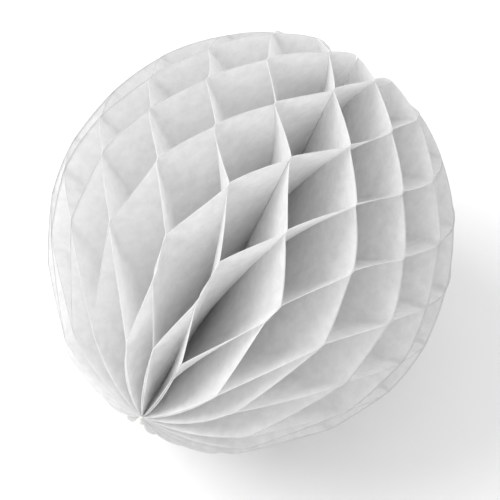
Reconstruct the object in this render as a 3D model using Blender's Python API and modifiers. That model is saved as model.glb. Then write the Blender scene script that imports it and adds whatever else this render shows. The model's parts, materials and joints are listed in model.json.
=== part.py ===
"""Paper honeycomb ball, opened and lying on its side.

Thirty-six tissue leaves are stacked, glued to each other along short strips and bound
at their straight edge by a spine thread. Two end cards carry the outer leaves. Swinging
one card once round the thread opens the stack into a ball; the cards then lie back to
back and are held by adhesive pads.
Metres, +Z up. The spine thread runs along X, origin under the middle of the ball.
"""

import math

import bmesh
import bpy
from mathutils import Matrix, Vector

# ---- driving dimensions ---------------------------------------------------------
LEAF_HEIGHT = 0.1243          # spine to round edge, so the ball is about 250 mm across
NEAR_LENGTH = 0.1243          # middle of the leaf to its -X tip
FAR_LENGTH = 0.139            # middle of the leaf to its +X tip
NEAR_FULLNESS = 2.1           # outline exponents of the two halves (2 is an ellipse)
FAR_FULLNESS = 2.6
LEAF_COUNT = 36               # gives 18 cells round the ball
TISSUE = 0.00004              # tissue thickness

LINE_PITCH = 0.0359           # glue line to glue line, on the flat leaf
LINE_WIDTH = 0.0025           # width of one glue strip
FIRST_LINE = -0.1112          # flat position of the glue line nearest the -X pole
LINE_COUNT = 7

GLUE_HALF = 0.00018           # sheet mid-surface to the middle of the glued joint
SEAM_HALF = 0.00025           # seam plane to the outer face of an end card
CARD = 0.0004                 # card thickness
CARD_INSET = 0.0025           # card edge, inside the leaf edge
CARD_INNER = 0.012            # card's straight edge, from the spine axis: the folded cards clear
CARD_SEGMENTS = 96

LEAF_INNER = 0.0015           # leaf's straight edge, from the spine axis
THREAD_RADIUS = 0.0011
KNOT_RADIUS = 0.0020
KNOT_STAND_OFF = 0.0024       # knot centre beyond the leaf tips
THREAD_STEPS = 16

PAD_LENGTH = 0.030
PAD_WIDTH = 0.008
PAD = 0.0002                  # adhesive pad thickness
PAD_RADIUS = 0.112            # pad centre from the middle of the leaf
PAD_ANGLES = (-42.0, 0.0, 42.0)

AXIS_HEIGHT = 0.12406        # spine axis above the floor
AXIS_SHIFT = (NEAR_LENGTH - FAR_LENGTH) / 2     # middle of the leaf along X
SEAM_AZIMUTH = math.radians(193.0)   # from +Z towards -Y
PITCH = 2 * math.pi / LEAF_COUNT
FLAP_SPREAD = 0.75            # how far a free leaf end stays with its glued neighbour
RADIAL_ROWS = (0.0, 0.36, 0.7, 1.0)
TIP_RADII = (0.005, 0.024, 0.040)    # rim heights of the stations close to each pole

COLOURS = {
    "tissue": (0.93, 0.93, 0.92, 1.0),
    "card": (0.88, 0.87, 0.84, 1.0),
    "thread": (0.90, 0.89, 0.86, 1.0),
    "adhesive": (0.80, 0.78, 0.70, 1.0),
}
ROUGHNESS = {"tissue": 0.85, "card": 0.75, "thread": 0.9, "adhesive": 0.4}

NAME = "paper_honeycomb_ball"


def clear_scene():
    for item in list(bpy.data.objects):
        bpy.data.objects.remove(item, do_unlink=True)


def material(kind, node):
    mat = bpy.data.materials.new(kind + "_" + node)
    mat.use_nodes = True
    shader = mat.node_tree.nodes["Principled BSDF"]
    shader.inputs["Base Color"].default_value = COLOURS[kind]
    shader.inputs["Roughness"].default_value = ROUGHNESS[kind]
    return mat


def place(name, mesh, kind, azimuth):
    """Object with its origin on the spine axis, turned to the given azimuth."""
    item = bpy.data.objects.new(name, mesh)
    item.matrix_world = (Matrix.Translation((AXIS_SHIFT, 0.0, AXIS_HEIGHT))
                         @ Matrix.Rotation(azimuth, 4, "X"))
    mesh.materials.append(material(kind, name))
    parts.objects.link(item)
    return item


# ---- the flat leaf --------------------------------------------------------------
def line_position(index):
    return FIRST_LINE + index * LINE_PITCH


def half_outline(side):
    """Length and exponent of the leaf outline's half on that side of the middle."""
    return (FAR_LENGTH, FAR_FULLNESS) if side > 0 else (NEAR_LENGTH, NEAR_FULLNESS)


def rim_radius(s):
    """Height of the leaf's round edge above the spine at flat position s."""
    length, power = half_outline(s)
    share = min(abs(s) / length, 1.0)
    return LEAF_HEIGHT * (1.0 - share ** power) ** (1.0 / power)


def tip_station(height, side):
    """Flat position where the round edge has the given height, on one side."""
    length, power = half_outline(side)
    return side * length * (1.0 - (height / LEAF_HEIGHT) ** power) ** (1.0 / power)


def leaf_stations():
    """Flat positions of the columns: strip edges, mid-spans and the two tips."""
    spots = [tip_station(height, -1) for height in TIP_RADII]
    for index in range(LINE_COUNT):
        middle = line_position(index)
        spots += [middle - LINE_WIDTH / 2, middle + LINE_WIDTH / 2]
        if index < LINE_COUNT - 1:
            spots.append(middle + LINE_PITCH / 2)
    far_end = line_position(LINE_COUNT - 1) + LINE_WIDTH / 2
    spots.append((far_end + tip_station(TIP_RADII[-1], 1)) / 2)
    spots += [tip_station(height, 1) for height in reversed(TIP_RADII)]
    return spots


# ---- the open fan ---------------------------------------------------------------
def seam_angle(rho):
    """Angle at radius rho taken up by half a seam: air, card and glue."""
    return math.asin(min((SEAM_HALF + CARD + 0.7 * GLUE_HALF) / rho, 1.0))


def joint_angle(index, rho):
    """Azimuth, from the seam, of the glued joint between leaf index and the next."""
    edge = seam_angle(rho)
    return edge + index * (2 * math.pi - 2 * edge) / LEAF_COUNT


def drawn_in(s, rho):
    """Axial position of flat position s once zigzagging has shortened the leaf."""
    rise = rho * PITCH / (LINE_PITCH - LINE_WIDTH)
    shrink = math.sqrt(1.0 - rise * rise)
    first = line_position(0) + LINE_WIDTH / 2
    last = line_position(LINE_COUNT - 1) - LINE_WIDTH / 2
    inner = min(max(s, first), last)
    low, high = min(inner, 0.0), max(inner, 0.0)
    flat = 0.0
    for index in range(1, LINE_COUNT - 1):
        start = max(line_position(index) - LINE_WIDTH / 2, low)
        stop = min(line_position(index) + LINE_WIDTH / 2, high)
        flat += max(stop - start, 0.0)
    bent = abs(inner) - flat
    return math.copysign(flat + bent * shrink, inner) + (s - inner)


def zigzag(s, first_side):
    """-1 on the joint before the leaf, +1 on the joint after it, between on the spans."""
    ends = (line_position(0), line_position(LINE_COUNT - 1))
    if s < ends[0] - LINE_WIDTH / 2 or s > ends[1] + LINE_WIDTH / 2:
        index = 0 if s < 0.0 else LINE_COUNT - 1
        side = first_side if index % 2 == 0 else -first_side
        over = (abs(s - ends[0 if s < 0.0 else 1]) - LINE_WIDTH / 2) / LINE_PITCH
        return side * (1.0 - (1.0 - FLAP_SPREAD) * min(over * 2, 1.0))
    place_on = (s - FIRST_LINE) / LINE_PITCH
    index = int(math.floor(place_on + 0.5))
    away = (place_on - index) * LINE_PITCH
    side = first_side if index % 2 == 0 else -first_side
    reach = abs(away) - LINE_WIDTH / 2
    if reach <= 0.0:
        return float(side)
    return side * (1.0 - 2.0 * reach / (LINE_PITCH - LINE_WIDTH))


def leaf(number):
    """One tissue leaf, folded to and fro between its two neighbours."""
    first_side = 1 if number % 2 == 1 else -1
    turn = SEAM_AZIMUTH + (number - 0.5) * PITCH
    stations = leaf_stations()
    sheet = bmesh.new()
    bmesh.ops.create_grid(sheet, x_segments=len(stations) - 1,
                          y_segments=len(RADIAL_ROWS) - 1, size=1.0)
    for vert in sheet.verts:
        column = round((vert.co.x + 1.0) / 2.0 * (len(stations) - 1))
        row = round((vert.co.y + 1.0) / 2.0 * (len(RADIAL_ROWS) - 1))
        s = stations[column]
        rho = LEAF_INNER + (rim_radius(s) - LEAF_INNER) * RADIAL_ROWS[row]
        before = joint_angle(number - 1, rho)
        after = joint_angle(number, rho)
        half = max((after - before) / 2 - math.asin(GLUE_HALF / rho), 0.0)
        angle = (before + after) / 2 + half * zigzag(s, first_side)
        angle += SEAM_AZIMUTH - turn
        vert.co = Vector((drawn_in(s, rho), -rho * math.sin(angle), rho * math.cos(angle)))
    name = "leaf_%02d" % number
    mesh = bpy.data.meshes.new(name)
    sheet.to_mesh(mesh)
    sheet.free()
    item = place(name, mesh, "tissue", turn)
    shell = item.modifiers.new("tissue", "SOLIDIFY")
    shell.thickness = TISSUE
    shell.offset = 0.0
    return item


# ---- cards, thread, pads ----------------------------------------------------------
def end_card(name, side):
    """Card of the leaf's outline beside the seam plane; side +1 carries leaf_01."""
    disc = bmesh.new()
    bmesh.ops.create_cone(disc, cap_ends=True, segments=CARD_SEGMENTS,
                          radius1=1.0, radius2=1.0, depth=CARD)
    for vert in disc.verts:
        length, power = half_outline(vert.co.x)
        vert.co.x = math.copysign(abs(vert.co.x) ** (2 / power), vert.co.x)
        vert.co.y = math.copysign(abs(vert.co.y) ** (2 / power), vert.co.y)
        vert.co.x *= length - CARD_INSET
        vert.co.y *= LEAF_HEIGHT - CARD_INSET
    bmesh.ops.rotate(disc, verts=disc.verts, cent=(0, 0, 0),
                     matrix=Matrix.Rotation(math.radians(90), 3, "X"))
    cut = bmesh.ops.bisect_plane(disc, geom=disc.verts[:] + disc.edges[:] + disc.faces[:],
                                 plane_co=(0, 0, CARD_INNER), plane_no=(0, 0, 1),
                                 clear_inner=True)
    bmesh.ops.contextual_create(
        disc, geom=[part for part in cut["geom_cut"] if isinstance(part, bmesh.types.BMEdge)])
    bmesh.ops.translate(disc, verts=disc.verts,
                        vec=(0.0, -side * (SEAM_HALF + CARD / 2), 0.0))
    bmesh.ops.recalc_face_normals(disc, faces=disc.faces)
    mesh = bpy.data.meshes.new(name)
    disc.to_mesh(mesh)
    disc.free()
    return place(name, mesh, "card", SEAM_AZIMUTH)


def spine_thread():
    """Thread through the straight edges, stopped by a round knot at each pole."""
    steps = [math.radians(degrees) for degrees in (40, 65, 90, 115, 140, 162)]
    outline = []
    for side, length in ((-1, NEAR_LENGTH), (1, FAR_LENGTH)):
        centre = length + KNOT_STAND_OFF
        knot = [(side * (centre - KNOT_RADIUS * math.cos(step)), KNOT_RADIUS * math.sin(step))
                for step in steps] + [(side * (centre + KNOT_RADIUS), 0.0)]
        outline += reversed(knot) if side < 0 else knot
    shape = bmesh.new()
    points = [shape.verts.new((x, 0.0, max(r, 0.0))) for x, r in outline]
    for first, second in zip(points, points[1:]):
        shape.edges.new((first, second))
    mesh = bpy.data.meshes.new("spine_thread")
    shape.to_mesh(mesh)
    shape.free()
    item = place("spine_thread", mesh, "thread", SEAM_AZIMUTH)
    turn = item.modifiers.new("turned", "SCREW")
    turn.axis = "X"
    turn.angle = 2 * math.pi
    turn.steps = THREAD_STEPS
    turn.render_steps = THREAD_STEPS
    turn.use_merge_vertices = True
    turn.merge_threshold = 0.00001
    turn.use_normal_calculate = True
    return item


def closure_pad(number, degrees):
    """Adhesive pad between the two cards, close to their round edge."""
    block = bmesh.new()
    bmesh.ops.create_cube(block, size=1.0)
    bmesh.ops.scale(block, verts=block.verts, vec=(PAD_LENGTH, PAD, PAD_WIDTH))
    bmesh.ops.translate(block, verts=block.verts, vec=(0.0, 0.0, PAD_RADIUS))
    bmesh.ops.rotate(block, verts=block.verts, cent=(0, 0, 0),
                     matrix=Matrix.Rotation(math.radians(degrees), 3, "Y"))
    name = "closure_pad_%d" % number
    mesh = bpy.data.meshes.new(name)
    block.to_mesh(mesh)
    block.free()
    return place(name, mesh, "adhesive", SEAM_AZIMUTH)


clear_scene()
parts = bpy.data.collections.new(NAME)
bpy.context.scene.collection.children.link(parts)

end_card("end_card_a", 1)
end_card("end_card_b", -1)
for leaf_number in range(1, LEAF_COUNT + 1):
    leaf(leaf_number)
spine_thread()
for pad_number, pad_degrees in enumerate(PAD_ANGLES, start=1):
    closure_pad(pad_number, pad_degrees)
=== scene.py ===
"""Paper honeycomb ball on a white table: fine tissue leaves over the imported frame."""

import json
import math
import random

import bpy
import numpy as np
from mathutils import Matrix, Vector


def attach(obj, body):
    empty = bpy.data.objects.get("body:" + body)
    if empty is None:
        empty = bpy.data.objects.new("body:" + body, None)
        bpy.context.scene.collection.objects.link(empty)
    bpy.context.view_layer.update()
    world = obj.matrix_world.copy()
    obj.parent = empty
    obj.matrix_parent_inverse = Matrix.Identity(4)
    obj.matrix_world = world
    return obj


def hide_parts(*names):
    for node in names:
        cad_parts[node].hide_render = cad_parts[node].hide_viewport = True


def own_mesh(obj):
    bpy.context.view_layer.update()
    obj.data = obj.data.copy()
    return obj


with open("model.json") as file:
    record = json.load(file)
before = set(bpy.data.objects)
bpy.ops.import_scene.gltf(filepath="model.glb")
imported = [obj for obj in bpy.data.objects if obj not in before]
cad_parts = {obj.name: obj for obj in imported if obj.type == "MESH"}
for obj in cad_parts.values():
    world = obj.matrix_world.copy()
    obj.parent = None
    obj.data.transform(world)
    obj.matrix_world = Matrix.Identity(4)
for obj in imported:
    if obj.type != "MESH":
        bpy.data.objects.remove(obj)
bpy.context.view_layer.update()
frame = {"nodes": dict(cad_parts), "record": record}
fold = next(j for j in frame["record"]["behaviour"]["joints"] if j["name"] == "fan_fold")
AXIS = Vector(fold["pos_m"])

# ---- the leaf, as in the CAD (metres) -----------------------------------------------
LEAF_HEIGHT = 0.1243
NEAR_LENGTH, FAR_LENGTH = 0.1243, 0.139
NEAR_FULLNESS, FAR_FULLNESS = 2.1, 2.6     # powers of the outline's two halves; 2 is an ellipse
LEAF_COUNT = 36
LINE_PITCH = 0.0359                        # between glue lines, along the spine
LINE_WIDTH = 0.0025
FIRST_LINE = -0.1112                       # glue line nearest the near pole, from the middle
LINE_COUNT = 7
GLUE_HALF = 0.00016                        # from the middle of a glued joint to either leaf
SEAM_ROOM = 0.00078                        # from the seam plane to the first and last joints
LEAF_INNER = 0.0015                        # straight edge, from the spine axis
SEAM_AZIMUTH = math.radians(193.0)
PITCH = 2 * math.pi / LEAF_COUNT
FREE = LINE_PITCH - LINE_WIDTH             # unglued stretch between two glue lines

# ---- how the tissue sits -------------------------------------------------------------
# where a free end goes (key -1 is at the near pole, 1 at the far pole): 1 stays on its own
# glue line, 0 is midway, -1 is against the next leaf; and the share of its length it takes
FLAP_STAYS, FLAP_REACH = {-1: 0.75, 1: -1.02}, {-1: 1.0, 1: 0.5}
NEAR_DRIFT = -0.0035           # the glue line nearest the near pole sits this much closer to it
# outline of each free stretch from the near pole on: 0 is straight, 1 is cut round
ROUNDNESS = (0.2, 0.4, 0.75, 0.8, 0.85, 1.0)
# how softly the sheet bends off a glue line at the rim and at the spine; 0 is a sharp fold
RIM_EASE, DEEP_EASE = 0.05, 0.9
CUT_EDGE = 0.00022             # width of the cut edge, painted paler than the tissue as a highlight
EDGE_UNEVEN = (0.75, 1.2)      # least and most of that width
EDGE_SLOPE = 0.4               # fall of the cut edge to each side

# by joint and glue line: how far the tissue sits off its ideal spot, along the spine and
# round it (mm)
PULLED = {
    (15, 0): (-3.0, 6.0),
    (17, 0): (1.0, -1.6),
    (19, 0): (1.0, -5.4),
    (21, 0): (-1.5, -0.8),
    (23, 0): (-0.5, -5.0),
    (18, 1): (0.0, -3.6),
    (19, 2): (-6.0, -1.8),
    (19, 4): (-0.8, 2.9),
    (23, 4): (2.3, 1.8),
    (17, 6): (0.7, 2.6),
}
# by joint and glue line: two leaves stay together this far past the line, towards the near pole
CLING = {(18, 1): 0.0125, (16, 1): 0.0115, (20, 1): 0.005}
CLING_HEIGHT = 0.09            # at this height and above they cling in full

SCATTER_ALONG, SCATTER_ROUND, SCATTER_BOW = 0.0005, 0.0006, 0.0007
rng = random.Random(7)
JITTER = {
    (joint, line): (rng.gauss(0, SCATTER_ALONG), rng.gauss(0, SCATTER_ROUND))
    for joint in range(LEAF_COUNT + 1)
    for line in range(LINE_COUNT)
}
BOW = {
    (leaf, stretch): rng.gauss(0, SCATTER_BOW)
    for leaf in range(1, LEAF_COUNT + 1)
    for stretch in range(1, LINE_COUNT)
}


def line_position(index):
    """Middle of a glue line on the flat leaf, along the spine from the leaf's middle."""
    return FIRST_LINE + index * LINE_PITCH


def half_outline(side):
    return (FAR_LENGTH, FAR_FULLNESS) if side > 0 else (NEAR_LENGTH, NEAR_FULLNESS)


def rim_radius(s):
    """Height of the leaf's outline at flat position s."""
    length, power = half_outline(s)
    share = min(abs(s) / length, 1.0)
    return LEAF_HEIGHT * (1.0 - share ** power) ** (1.0 / power)


def tip_station(rise, side):
    """Flat position near a pole, side -1 near or 1 far, where the outline has this height."""
    length, power = half_outline(side)
    return side * length * (1.0 - (rise / LEAF_HEIGHT) ** power) ** (1.0 / power)


def seam_angle(rho):
    """Angle at height rho that the room at the seam takes up."""
    return math.asin(min(SEAM_ROOM / rho, 1.0))


def joint_angle(index, rho):
    """Azimuth from the seam of the joint between leaves index and index + 1, at height rho."""
    edge = seam_angle(rho)
    return edge + index * (2 * math.pi - 2 * edge) / LEAF_COUNT


def drawn_in(s, rho):
    """Where flat position s stands along the spine once the leaf is zigzagged."""
    rise = rho * PITCH / FREE
    shrink = math.sqrt(1.0 - rise * rise)
    first = line_position(0) + LINE_WIDTH / 2
    last = line_position(LINE_COUNT - 1) - LINE_WIDTH / 2
    inner = min(max(s, first), last)
    low, high = min(inner, 0.0), max(inner, 0.0)
    flat = 0.0
    for index in range(1, LINE_COUNT - 1):
        start = max(line_position(index) - LINE_WIDTH / 2, low)
        stop = min(line_position(index) + LINE_WIDTH / 2, high)
        flat += max(stop - start, 0.0)
    bent = abs(inner) - flat
    return math.copysign(flat + bent * shrink, inner) + (s - inner)


def glued_joint(leaf, line):
    """The joint, before (leaf - 1) or after (leaf), that this glue line of the leaf is on."""
    before = leaf - 1
    return before if (before + line) % 2 == 1 else leaf


def line_shift(joint, line):
    """How far a joint's glue line is off its ideal spot at the rim: along and round the spine."""
    along, round_ = JITTER[(joint, line)] if 0 < joint < LEAF_COUNT else (0.0, 0.0)
    more = PULLED.get((joint, line), (0.0, 0.0))
    drift = NEAR_DRIFT if line == 0 else 0.0
    return along + drift + more[0] / 1000, round_ + more[1] / 1000


def leaf_point(leaf, s, rho):
    """A point of the leaf at flat position s and height rho: (x, azimuth from the seam)."""
    index = min(max(int(math.floor((s - FIRST_LINE) / LINE_PITCH)), -1), LINE_COUNT - 1)
    near, far = max(index, 0), min(index + 1, LINE_COUNT - 1)
    spots = []
    for line in (near, far):
        joint = glued_joint(leaf, line)
        angle = joint_angle(joint, rho)
        side = 1.0 if joint == leaf - 1 else -1.0
        along, round_ = line_shift(joint, line)
        grow = min(rho / rim_radius(line_position(line)), 1.0) ** 2
        angle += side * GLUE_HALF / rho + round_ * grow / rho
        spots.append((angle, along * grow))
    if near == far:                 # a free end, beyond the first or last glue line
        mean = (joint_angle(leaf - 1, rho) + joint_angle(leaf, rho)) / 2
        side = -1 if near == 0 else 1
        free = abs(half_outline(side)[0] * side - line_position(near)) - LINE_WIDTH / 2
        over = max(abs(s - line_position(near)) - LINE_WIDTH / 2, 0.0)
        keep = 1.0 - (1.0 - FLAP_STAYS[side]) * min(over / free / FLAP_REACH[side], 1.0)
        return drawn_in(s, rho) + spots[0][1], mean + (spots[0][0] - mean) * keep
    start = line_position(near) + LINE_WIDTH / 2
    stop = line_position(far) - LINE_WIDTH / 2
    stop -= CLING.get((glued_joint(leaf, far), far), 0.0) * min(rho / CLING_HEIGHT, 1.0) ** 3
    t = min(max((s - start) / (stop - start), 0.0), 1.0)
    angle = spots[0][0] + (spots[1][0] - spots[0][0]) * t
    along = spots[0][1] + (spots[1][1] - spots[0][1]) * t
    return drawn_in(s, rho) + along, angle


def held_between(s):
    """Ends and number of the free stretch between two glue lines that s is on, or None."""
    number = int(math.floor((s - FIRST_LINE + LINE_PITCH) / LINE_PITCH))
    if not 0 < number < LINE_COUNT:
        return None
    start = line_position(number - 1) + LINE_WIDTH / 2
    stop = line_position(number) - LINE_WIDTH / 2
    return (start, stop, number) if start < s < stop else None


def height(s, row):
    """Height above the spine at share row of the way from the straight edge to the outline."""
    return LEAF_INNER + (rim_radius(s) - LEAF_INNER) * row


def sideways(leaf, s, row):
    """(x, across, out) of a leaf point, seen from the spine towards the leaf's middle azimuth."""
    rho = height(s, row)
    x, turn = leaf_point(leaf, s, rho)
    turn -= (leaf - 0.5) * PITCH
    return np.array((x, rho * math.sin(turn), rho * math.cos(turn)))


def place(leaf, s, row):
    """Point of the leaf at flat position s and share row of its height, from AXIS."""
    spot = sideways(leaf, s, row)
    held = held_between(s)
    if held:
        start, stop, number = held
        t = (s - start) / (stop - start)
        low_end, high_end = sideways(leaf, start, row), sideways(leaf, stop, row)
        rounded = ROUNDNESS[number - 1]
        straight = low_end + (high_end - low_end) * np.array((t, eased(leaf, number, t, row), t))
        spot = straight + (spot - straight) * np.array((rounded, 0.0, rounded))
        spot[1] += BOW[(leaf, number)] * 4 * t * (1 - t) * row
    x, across, out = spot
    middle = SEAM_AZIMUTH + (leaf - 0.5) * PITCH
    return (x, -across * math.cos(middle) - out * math.sin(middle),
            -across * math.sin(middle) + out * math.cos(middle))


def eased(leaf, number, t, row):
    """Share of the way across at share t of a free stretch; clinging leaves arrive early."""
    cling = CLING.get((glued_joint(leaf, number), number), 0.0)
    t = min(t / (1.0 - cling / FREE), 1.0)
    ease = RIM_EASE + (DEEP_EASE - RIM_EASE) * (1.0 - row) ** 2
    return t + (t * t * (3 - 2 * t) - t) * ease


TIP_HEIGHTS = (0.0048, 0.011, 0.018, 0.026, 0.034, 0.042, 0.049)
FREE_SHARES = (0.04, 0.12, 0.25, 0.4, 0.55, 0.7, 0.85, 0.94)
FAR_END_SHARES = (0.07, 0.16, 0.27, 0.38, 0.49, 0.6, 0.72, 0.86)


def stations():
    """Flat positions of the mesh columns: poles, glue lines and the free stretches between."""
    spots = [tip_station(h, -1) for h in TIP_HEIGHTS]
    for index in range(LINE_COUNT):
        middle = line_position(index)
        spots += [middle + LINE_WIDTH * f for f in (-0.5, 0.0, 0.5)]
        if index < LINE_COUNT - 1:
            spots += [middle + LINE_WIDTH / 2 + FREE * f for f in FREE_SHARES]
    far_end = line_position(LINE_COUNT - 1) + LINE_WIDTH / 2
    last = tip_station(TIP_HEIGHTS[-2], 1)
    spots += [far_end + (last - far_end) * f for f in FAR_END_SHARES]
    spots += [tip_station(h, 1) for h in reversed(TIP_HEIGHTS[:-1])]
    return sorted(spots)


STATIONS = stations()
# mesh rows, as shares of the way from the straight edge to the outline
ROWS = [0.0, 0.08, 0.18, 0.29, 0.40, 0.51, 0.62, 0.72, 0.81, 0.89, 0.95, 0.985, 1.0]


# ---- materials --------------------------------------------------------------------
def nodes_of(name):
    """A new empty node material: material, tree, nodes, links."""
    mat = bpy.data.materials.new(name)
    mat.use_nodes = True
    nt = mat.node_tree
    nt.nodes.clear()
    return mat, nt, nt.nodes, nt.links


def tissue_material(name, dark, light, through_share):
    """Thin white paper: matt on its face, and through_share of the light passes through."""
    mat, nt, n, link = nodes_of(name)
    out = n.new("ShaderNodeOutputMaterial")
    mix = n.new("ShaderNodeMixShader")
    mix.inputs[0].default_value = through_share
    face = n.new("ShaderNodeBsdfPrincipled")
    face.inputs["Roughness"].default_value = 0.86
    face.inputs["Specular IOR Level"].default_value = 0.25
    through = n.new("ShaderNodeBsdfTranslucent")
    coords = n.new("ShaderNodeTexCoord")
    cloud = n.new("ShaderNodeTexNoise")
    cloud.inputs["Scale"].default_value = 160
    cloud.inputs["Detail"].default_value = 5
    cloud.inputs["Roughness"].default_value = 0.62
    ramp = n.new("ShaderNodeValToRGB")
    ramp.color_ramp.elements[0].position = 0.30
    ramp.color_ramp.elements[0].color = (dark, dark, dark, 1)
    ramp.color_ramp.elements[1].position = 0.72
    ramp.color_ramp.elements[1].color = (light, light, light, 1)
    link.new(coords.outputs["Object"], cloud.inputs["Vector"])
    link.new(cloud.outputs["Fac"], ramp.inputs["Fac"])
    link.new(ramp.outputs["Color"], face.inputs["Base Color"])
    link.new(ramp.outputs["Color"], through.inputs["Color"])
    fibre = n.new("ShaderNodeTexNoise")
    fibre.inputs["Scale"].default_value = 900
    fibre.inputs["Detail"].default_value = 4
    bump = n.new("ShaderNodeBump")
    bump.inputs["Strength"].default_value = 0.25
    bump.inputs["Distance"].default_value = 0.0004
    crumple = n.new("ShaderNodeTexNoise")
    crumple.inputs["Scale"].default_value = 55
    crumple.inputs["Detail"].default_value = 3
    crumple.inputs["Distortion"].default_value = 0.8
    waves = n.new("ShaderNodeBump")
    waves.inputs["Strength"].default_value = 0.35
    waves.inputs["Distance"].default_value = 0.002
    link.new(coords.outputs["Object"], crumple.inputs["Vector"])
    link.new(crumple.outputs["Fac"], waves.inputs["Height"])
    link.new(waves.outputs["Normal"], bump.inputs["Normal"])
    link.new(coords.outputs["Object"], fibre.inputs["Vector"])
    link.new(fibre.outputs["Fac"], bump.inputs["Height"])
    link.new(bump.outputs["Normal"], face.inputs["Normal"])
    link.new(bump.outputs["Normal"], through.inputs["Normal"])
    link.new(face.outputs[0], mix.inputs[1])
    link.new(through.outputs[0], mix.inputs[2])
    link.new(mix.outputs[0], out.inputs["Surface"])
    return mat


def plain_material(name, low, high, scale, rough, bump_mm):
    """An opaque mottled material between two colours."""
    mat, nt, n, link = nodes_of(name)
    out = n.new("ShaderNodeOutputMaterial")
    face = n.new("ShaderNodeBsdfPrincipled")
    face.inputs["Roughness"].default_value = rough
    coords = n.new("ShaderNodeTexCoord")
    cloud = n.new("ShaderNodeTexNoise")
    cloud.inputs["Scale"].default_value = scale
    cloud.inputs["Detail"].default_value = 6
    ramp = n.new("ShaderNodeValToRGB")
    ramp.color_ramp.elements[0].position = 0.3
    ramp.color_ramp.elements[0].color = (*low, 1)
    ramp.color_ramp.elements[1].position = 0.7
    ramp.color_ramp.elements[1].color = (*high, 1)
    bump = n.new("ShaderNodeBump")
    bump.inputs["Strength"].default_value = 0.4
    bump.inputs["Distance"].default_value = bump_mm / 1000
    link.new(coords.outputs["Object"], cloud.inputs["Vector"])
    link.new(cloud.outputs["Fac"], ramp.inputs["Fac"])
    link.new(ramp.outputs["Color"], face.inputs["Base Color"])
    link.new(cloud.outputs["Fac"], bump.inputs["Height"])
    link.new(bump.outputs["Normal"], face.inputs["Normal"])
    link.new(face.outputs[0], out.inputs["Surface"])
    return mat


# ---- tissue leaves ----------------------------------------------------------------
TISSUE = tissue_material("tissue_paper", 0.81, 0.915, 0.42)
# the cut edge gets paler, less translucent tissue: a painted highlight along the rim
EDGE_PAINTED_HIGHLIGHT = tissue_material("tissue_cut_edge_painted_highlight", 0.88, 0.95, 0.38)

def tissue_leaf(number):
    """One leaf as a grid of columns and rows, with a narrow cut edge along its outline, painted
    paler as a highlight.
    """
    name = "tissue_leaf_%02d" % number
    rng_leaf = random.Random(number)
    verts = [place(number, s, row) for s in STATIONS for row in ROWS]
    wide = len(ROWS)
    grid = np.array(verts).reshape(len(STATIONS), wide, 3)
    faces = [
        (c * wide + r, (c + 1) * wide + r, (c + 1) * wide + r + 1, c * wide + r + 1)
        for c in range(len(STATIONS) - 1)
        for r in range(wide - 1)
    ]
    rim = grid[:, -1]
    along = np.gradient(rim, axis=0)
    outward = rim - grid[:, -2]
    across = np.cross(along, outward)
    across /= np.linalg.norm(across, axis=1)[:, None]
    outward /= np.linalg.norm(outward, axis=1)[:, None]
    for index in range(len(STATIONS)):
        half = CUT_EDGE / 2 * rng_leaf.uniform(*EDGE_UNEVEN)
        base = rim[index] - outward[index] * half * EDGE_SLOPE
        verts += [tuple(base - across[index] * half), tuple(base + across[index] * half)]
    first = len(STATIONS) * wide
    for c in range(len(STATIONS) - 1):
        a, b = first + 2 * c, first + 2 * (c + 1)
        top, next_top = c * wide + wide - 1, (c + 1) * wide + wide - 1
        faces += [(a, b, next_top, top), (top, next_top, b + 1, a + 1)]
    mesh = bpy.data.meshes.new(name)
    mesh.from_pydata(verts, [], faces)
    mesh.materials.append(TISSUE)
    mesh.materials.append(EDGE_PAINTED_HIGHLIGHT)
    edge_from = (len(STATIONS) - 1) * (wide - 1)
    mesh.polygons.foreach_set("material_index",
                              [int(i >= edge_from) for i in range(len(faces))])
    mesh.shade_smooth()
    item = bpy.data.objects.new(name, mesh)
    item.location = AXIS
    bpy.context.scene.collection.objects.link(item)
    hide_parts("leaf_%02d" % number)
    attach(item, "leaf_%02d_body" % number)
    middle = SEAM_AZIMUTH + (number - 0.5) * PITCH
    across = (0.0, -math.cos(middle), -math.sin(middle))
    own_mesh(item)
    return item


for leaf_number in range(1, LEAF_COUNT + 1):
    tissue_leaf(leaf_number)

CARD_MAT = plain_material("end_card_board", (0.80, 0.79, 0.76), (0.88, 0.87, 0.84), 300, 0.8, 0.08)
THREAD_MAT = plain_material("cotton_thread", (0.78, 0.77, 0.74), (0.92, 0.91, 0.88), 1500, 0.9, 0.2)
PAD_MAT = plain_material("adhesive_pad", (0.70, 0.68, 0.60), (0.80, 0.78, 0.70), 400, 0.45, 0.05)
for node, mat in (("end_card_a", CARD_MAT), ("end_card_b", CARD_MAT),
                  ("spine_thread", THREAD_MAT), ("closure_pad_1", PAD_MAT),
                  ("closure_pad_2", PAD_MAT), ("closure_pad_3", PAD_MAT)):
    shown = frame["nodes"][node]
    for index in range(len(shown.material_slots)):
        shown.material_slots[index].material = mat

# ---- floor, light, camera -----------------------------------------------------------
FLOOR_HALF = 6.0
floor_mesh = bpy.data.meshes.new("floor")
floor_mesh.from_pydata([(x * FLOOR_HALF, y * FLOOR_HALF, 0)
                        for x, y in ((-1, -1), (1, -1), (1, 1), (-1, 1))], [], [(0, 1, 2, 3)])
floor = bpy.data.objects.new("floor", floor_mesh)
bpy.context.scene.collection.objects.link(floor)
floor_mat, floor_tree, floor_nodes, floor_links = nodes_of("white_table")
floor_out = floor_nodes.new("ShaderNodeOutputMaterial")
floor_face = floor_nodes.new("ShaderNodeBsdfPrincipled")
floor_face.inputs["Base Color"].default_value = (0.95, 0.95, 0.95, 1)
floor_face.inputs["Roughness"].default_value = 0.9
floor_face.inputs["Specular IOR Level"].default_value = 0.1
floor_links.new(floor_face.outputs[0], floor_out.inputs["Surface"])
floor_mesh.materials.append(floor_mat)

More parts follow.
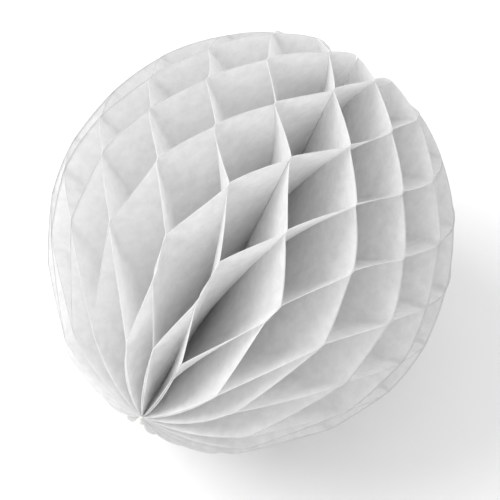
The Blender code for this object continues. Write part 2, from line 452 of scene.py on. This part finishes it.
AZIMUTH, ELEVATION = math.radians(-62.15), math.radians(59.3)
DISTANCE = 0.677
FOCAL_PIXELS, FRAME_PIXELS, SENSOR_MM = 1094, 500, 36
back = Vector((math.sin(AZIMUTH) * math.cos(ELEVATION),
               -math.cos(AZIMUTH) * math.cos(ELEVATION), math.sin(ELEVATION)))
right = Vector((math.cos(AZIMUTH), math.sin(AZIMUTH), 0.0))
up = back.cross(right)

camera_data = bpy.data.cameras.new("camera")
camera_data.sensor_width = SENSOR_MM
camera_data.lens = SENSOR_MM * FOCAL_PIXELS / FRAME_PIXELS
camera_data.shift_x = 0.0116
camera_data.shift_y = 0.0026
camera_data.clip_start, camera_data.clip_end = 0.01, 50
camera = bpy.data.objects.new("camera", camera_data)
camera.location = AXIS + back * DISTANCE
camera.rotation_mode = "QUATERNION"
camera.rotation_quaternion = (-back).to_track_quat("-Z", "Y")
bpy.context.scene.collection.objects.link(camera)
bpy.context.scene.camera = camera


def soft_light(name, where, size, watts):
    """A round area light that faces the middle of the ball."""
    data = bpy.data.lights.new(name, "AREA")
    data.shape = "DISK"
    data.size = size
    data.energy = watts
    lamp = bpy.data.objects.new(name, data)
    lamp.location = where
    lamp.rotation_mode = "QUATERNION"
    lamp.rotation_quaternion = (AXIS - where).to_track_quat("-Z", "Y")
    bpy.context.scene.collection.objects.link(lamp)


KEY_DISTANCE, KEY_SIZE, KEY_WATTS = 2.0, 1.6, 28
key_way = back * 0.6 - right + up * 0.6 + Vector((0, 0, 0.3))
soft_light("key", AXIS + key_way.normalized() * KEY_DISTANCE, KEY_SIZE, KEY_WATTS)

world = bpy.data.worlds.new("studio")
bpy.context.scene.world = world
world.use_nodes = True
sky = world.node_tree.nodes["Background"]
sky.inputs["Color"].default_value = (1, 1, 1, 1)
sky.inputs["Strength"].default_value = 0.90
bpy.context.scene.view_settings.view_transform = "Standard"
bpy.context.scene.cycles.max_bounces = 20       # white paper passes light on many times
bpy.context.scene.cycles.diffuse_bounces = 16
